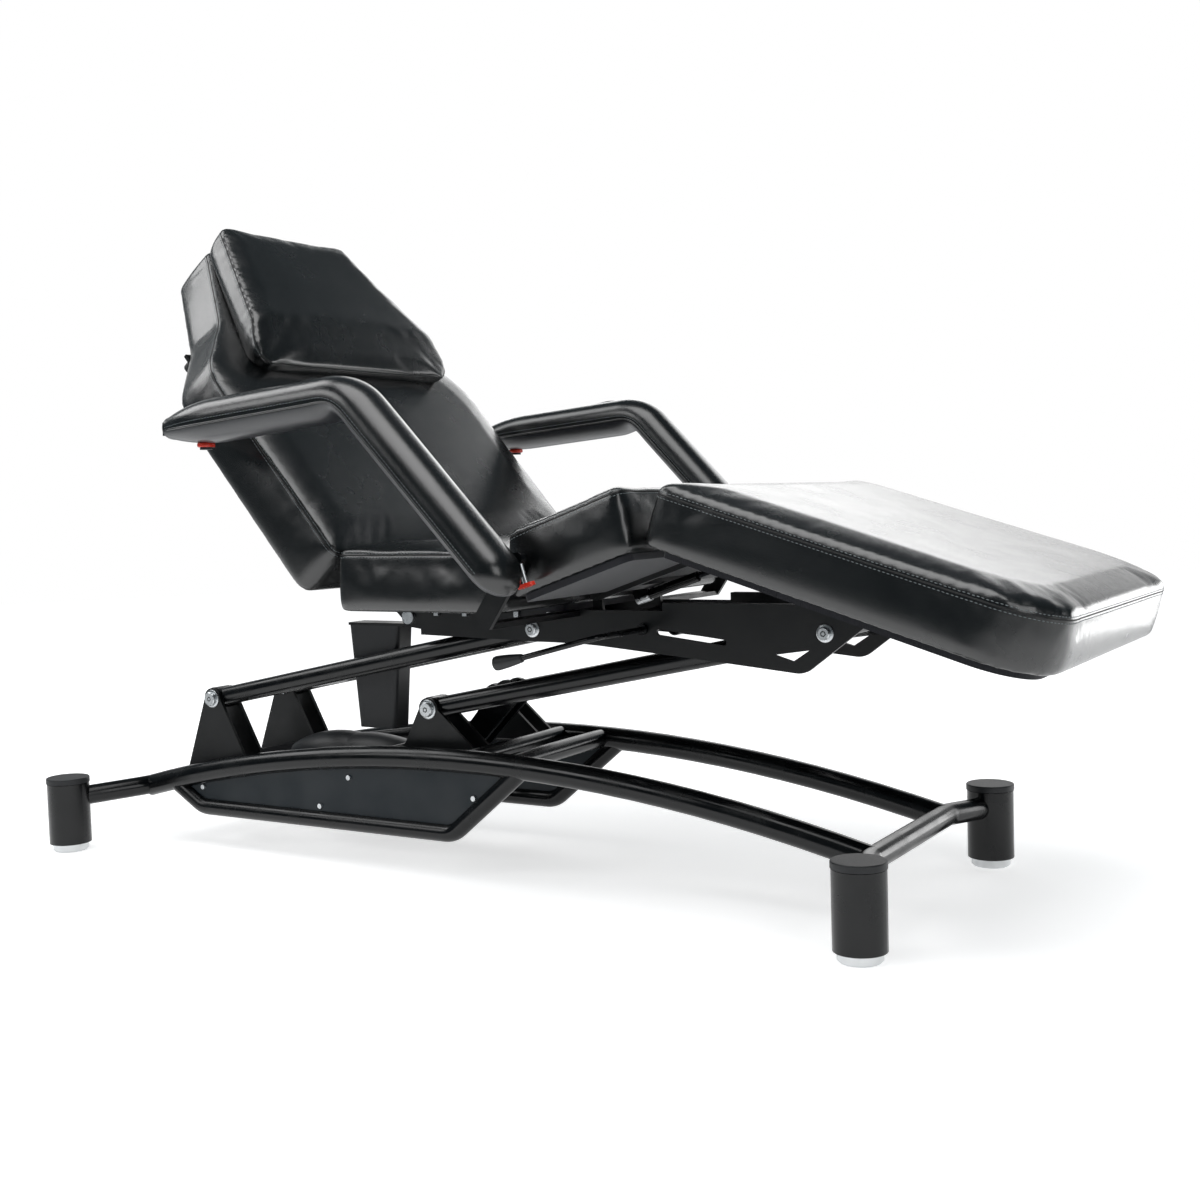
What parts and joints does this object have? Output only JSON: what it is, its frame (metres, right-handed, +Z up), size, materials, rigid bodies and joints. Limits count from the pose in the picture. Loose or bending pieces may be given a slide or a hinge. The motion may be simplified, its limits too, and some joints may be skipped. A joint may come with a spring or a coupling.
{
  "type": "tattoo chair",
  "caption": "Reclining tattoo chair on an arched tube base: padded back, seat, thigh and leg sections on a powered parallelogram lift, swing-up armrests and a headrest.",
  "frame": {"origin": "floor level, centre of the whole chair's bounding box in X and Y", "axes": "+X towards the leg rest, +Z up, -Y is the side with the release lever"},
  "size_m": [1.8962, 0.956, 1.1339],
  "materials": {
    "frame_paint": "gloss black powder coat",
    "plate_paint": "satin black powder coat",
    "panel_paint": "satin blue-black powder coat",
    "upholstery": "semi-gloss black synthetic leather",
    "board_black": "black lined plywood",
    "bright_steel": "zinc plated",
    "chrome_rod": "polished chrome",
    "glide_silver": "satin",
    "cap_black": "matt black",
    "box_black": "matt black",
    "red_plastic": "gloss red"
  },
  "bodies": {
    "base": {"foot_posts": "frame_paint", "foot_caps": "cap_black", "head_bow": "frame_paint", "foot_bow": "frame_paint", "near_rail": "frame_paint", "far_rail": "frame_paint", "base_cross_tubes": "frame_paint", "near_hoop": "frame_paint", "far_hoop": "frame_paint", "near_panel": "panel_paint", "far_panel": "panel_paint", "panel_screws": "bright_steel", "pivot_brackets": "plate_paint", "base_pivot_bolts": "bright_steel", "actuator_housing": "box_black"},
    "glide_head_near": {"glide_head_near": "glide_silver"},
    "glide_head_far": {"glide_head_far": "glide_silver"},
    "glide_foot_near": {"glide_foot_near": "glide_silver"},
    "glide_foot_far": {"glide_foot_far": "glide_silver"},
    "actuator_rod": {"actuator_rod": "chrome_rod"},
    "rear_arms": {"rear_arms": "frame_paint", "rear_arm_tie_tube": "frame_paint"},
    "front_arms": {"front_arms": "frame_paint", "torque_tube": "frame_paint"},
    "seat": {"seat_plate_near": "plate_paint", "seat_plate_far": "plate_paint", "seat_cross_tubes": "plate_paint", "seat_pivot_bolts": "bright_steel", "back_hinge_shaft": "bright_steel", "frame_nuts": "bright_steel", "control_box": "box_black", "seat_board": "board_black", "seat_cushion": "upholstery", "armrest_brackets": "plate_paint", "back_spring_tube": "frame_paint"},
    "backrest": {"back_board": "board_black", "back_cushion": "upholstery", "back_frame": "plate_paint"},
    "headrest": {"headrest_pillow": "upholstery", "headrest_mount": "plate_paint"},
    "headrest_knob_near": {"headrest_knob_near": "cap_black"},
    "headrest_knob_far": {"headrest_knob_far": "cap_black"},
    "back_spring_rod": {"back_spring_rod": "chrome_rod"},
    "thigh_section": {"thigh_cushion": "upholstery", "thigh_board": "board_black", "thigh_frame": "plate_paint", "knee_spring_tube": "frame_paint"},
    "knee_spring_rod": {"knee_spring_rod": "chrome_rod"},
    "leg_section": {"leg_cushion": "upholstery", "leg_board": "board_black", "leg_frame": "plate_paint"},
    "release_lever": {"release_lever": "frame_paint"},
    "armrest_near": {"armrest_pad_near": "upholstery", "armrest_frame_near": "frame_paint"},
    "armrest_far": {"armrest_pad_far": "upholstery", "armrest_frame_far": "frame_paint"},
    "armrest_pull_near": {"armrest_pull_near": "cap_black"},
    "armrest_pull_far": {"armrest_pull_far": "cap_black"},
    "armrest_catch_near": {"armrest_catch_near": "red_plastic"},
    "armrest_catch_far": {"armrest_catch_far": "red_plastic"}
  },
  "joints": [
    {"name": "glide_head_near_screw", "type": "slide", "parent": "base", "child": "glide_head_near", "axis": [0, 0, -1], "range_m": [0, 0.01]},
    {"name": "glide_head_far_screw", "type": "slide", "parent": "base", "child": "glide_head_far", "axis": [0, 0, -1], "range_m": [0, 0.01]},
    {"name": "glide_foot_near_screw", "type": "slide", "parent": "base", "child": "glide_foot_near", "axis": [0, 0, -1], "range_m": [0, 0.01]},
    {"name": "glide_foot_far_screw", "type": "slide", "parent": "base", "child": "glide_foot_far", "axis": [0, 0, -1], "range_m": [0, 0.01]},
    {"name": "lift", "type": "hinge", "parent": "base", "child": "rear_arms", "pos_m": [-0.69908, 0, 0.273], "axis": [0, -1, 0], "range_deg": [0, 34]},
    {"name": "front_arm_pivot", "type": "hinge", "parent": "base", "child": "front_arms", "pos_m": [-0.18408, 0, 0.277], "axis": [0, -1, 0], "range_deg": [0, 34.2]},
    {"name": "seat_level", "type": "hinge", "parent": "rear_arms", "child": "seat", "pos_m": [0.03792, 0, 0.42], "axis": [0, -1, 0], "range_deg": [-34.2, 0]},
    {"name": "actuator_slide", "type": "slide", "parent": "base", "child": "actuator_rod", "axis": [1, 0, 0], "range_m": [0, 0.074]},
    {"name": "backrest_tilt", "type": "hinge", "parent": "seat", "child": "backrest", "pos_m": [-0.21708, 0, 0.436], "axis": [0, 1, 0], "range_deg": [-50, 0]},
    {"name": "back_spring_slide", "type": "slide", "parent": "seat", "child": "back_spring_rod", "axis": [1, 0, 0], "range_m": [0, 0.0388]},
    {"name": "headrest_slide", "type": "slide", "parent": "backrest", "child": "headrest", "axis": [-0.6428, 0, 0.766], "range_m": [0, 0.06]},
    {"name": "headrest_knob_near_turn", "type": "hinge", "parent": "headrest", "child": "headrest_knob_near", "pos_m": [-0.59778, -0.226, 0.88744], "axis": [0.766, 0, 0.6428], "continuous": true},
    {"name": "headrest_knob_far_turn", "type": "hinge", "parent": "headrest", "child": "headrest_knob_far", "pos_m": [-0.59778, 0.226, 0.88744], "axis": [0.766, 0, 0.6428], "continuous": true},
    {"name": "thigh_tilt", "type": "hinge", "parent": "seat", "child": "thigh_section", "pos_m": [0.15092, 0, 0.476], "axis": [0, 1, 0], "range_deg": [0, 18.5]},
    {"name": "knee_bend", "type": "hinge", "parent": "thigh_section", "child": "leg_section", "pos_m": [0.37346, 0, 0.55246], "axis": [0, 1, 0], "range_deg": [-36.3, 0]},
    {"name": "knee_spring_slide", "type": "slide", "parent": "thigh_section", "child": "knee_spring_rod", "axis": [0.9483, 0, 0.3173], "range_m": [-0.0001, 0.0138]},
    {"name": "release_lever_turn", "type": "hinge", "parent": "seat", "child": "release_lever", "pos_m": [0.24692, 0, 0.424], "axis": [0, 1, 0], "range_deg": [0, 15], "stiffness_Nm_per_rad": 0.5, "springref_deg": -28.65},
    {"name": "armrest_near_swing", "type": "hinge", "parent": "seat", "child": "armrest_near", "pos_m": [0.17492, -0.434, 0.538], "axis": [0, 1, 0], "range_deg": [0, 100]},
    {"name": "armrest_pull_near_slide", "type": "slide", "parent": "armrest_near", "child": "armrest_pull_near", "axis": [0, 0, -1], "range_m": [0, 0.008], "stiffness_N_per_m": 600, "springref_m": -0.01},
    {"name": "armrest_catch_near_slide", "type": "slide", "parent": "armrest_near", "child": "armrest_catch_near", "axis": [0.2922, 0, -0.9564], "range_m": [0, 0.006], "stiffness_N_per_m": 600, "springref_m": -0.01},
    {"name": "armrest_far_swing", "type": "hinge", "parent": "seat", "child": "armrest_far", "pos_m": [0.17492, 0.434, 0.538], "axis": [0, 1, 0], "range_deg": [0, 100]},
    {"name": "armrest_pull_far_slide", "type": "slide", "parent": "armrest_far", "child": "armrest_pull_far", "axis": [0, 0, -1], "range_m": [0, 0.008], "stiffness_N_per_m": 600, "springref_m": -0.01},
    {"name": "armrest_catch_far_slide", "type": "slide", "parent": "armrest_far", "child": "armrest_catch_far", "axis": [0.2922, 0, -0.9564], "range_m": [0, 0.006], "stiffness_N_per_m": 600, "springref_m": -0.01}
  ],
  "couplings": [
    {"joint": "front_arm_pivot", "follows": "lift", "ratio": 1},
    {"joint": "seat_level", "follows": "lift", "ratio": -1},
    {"joint": "actuator_slide", "follows": "lift", "m_per_rad": 0.1232},
    {"joint": "back_spring_slide", "follows": "backrest_tilt", "m_per_rad": -0.043586},
    {"joint": "knee_bend", "follows": "thigh_tilt", "ratio": -1.9568},
    {"joint": "knee_spring_slide", "follows": "thigh_tilt", "m_per_rad": 0.0421}
  ]
}
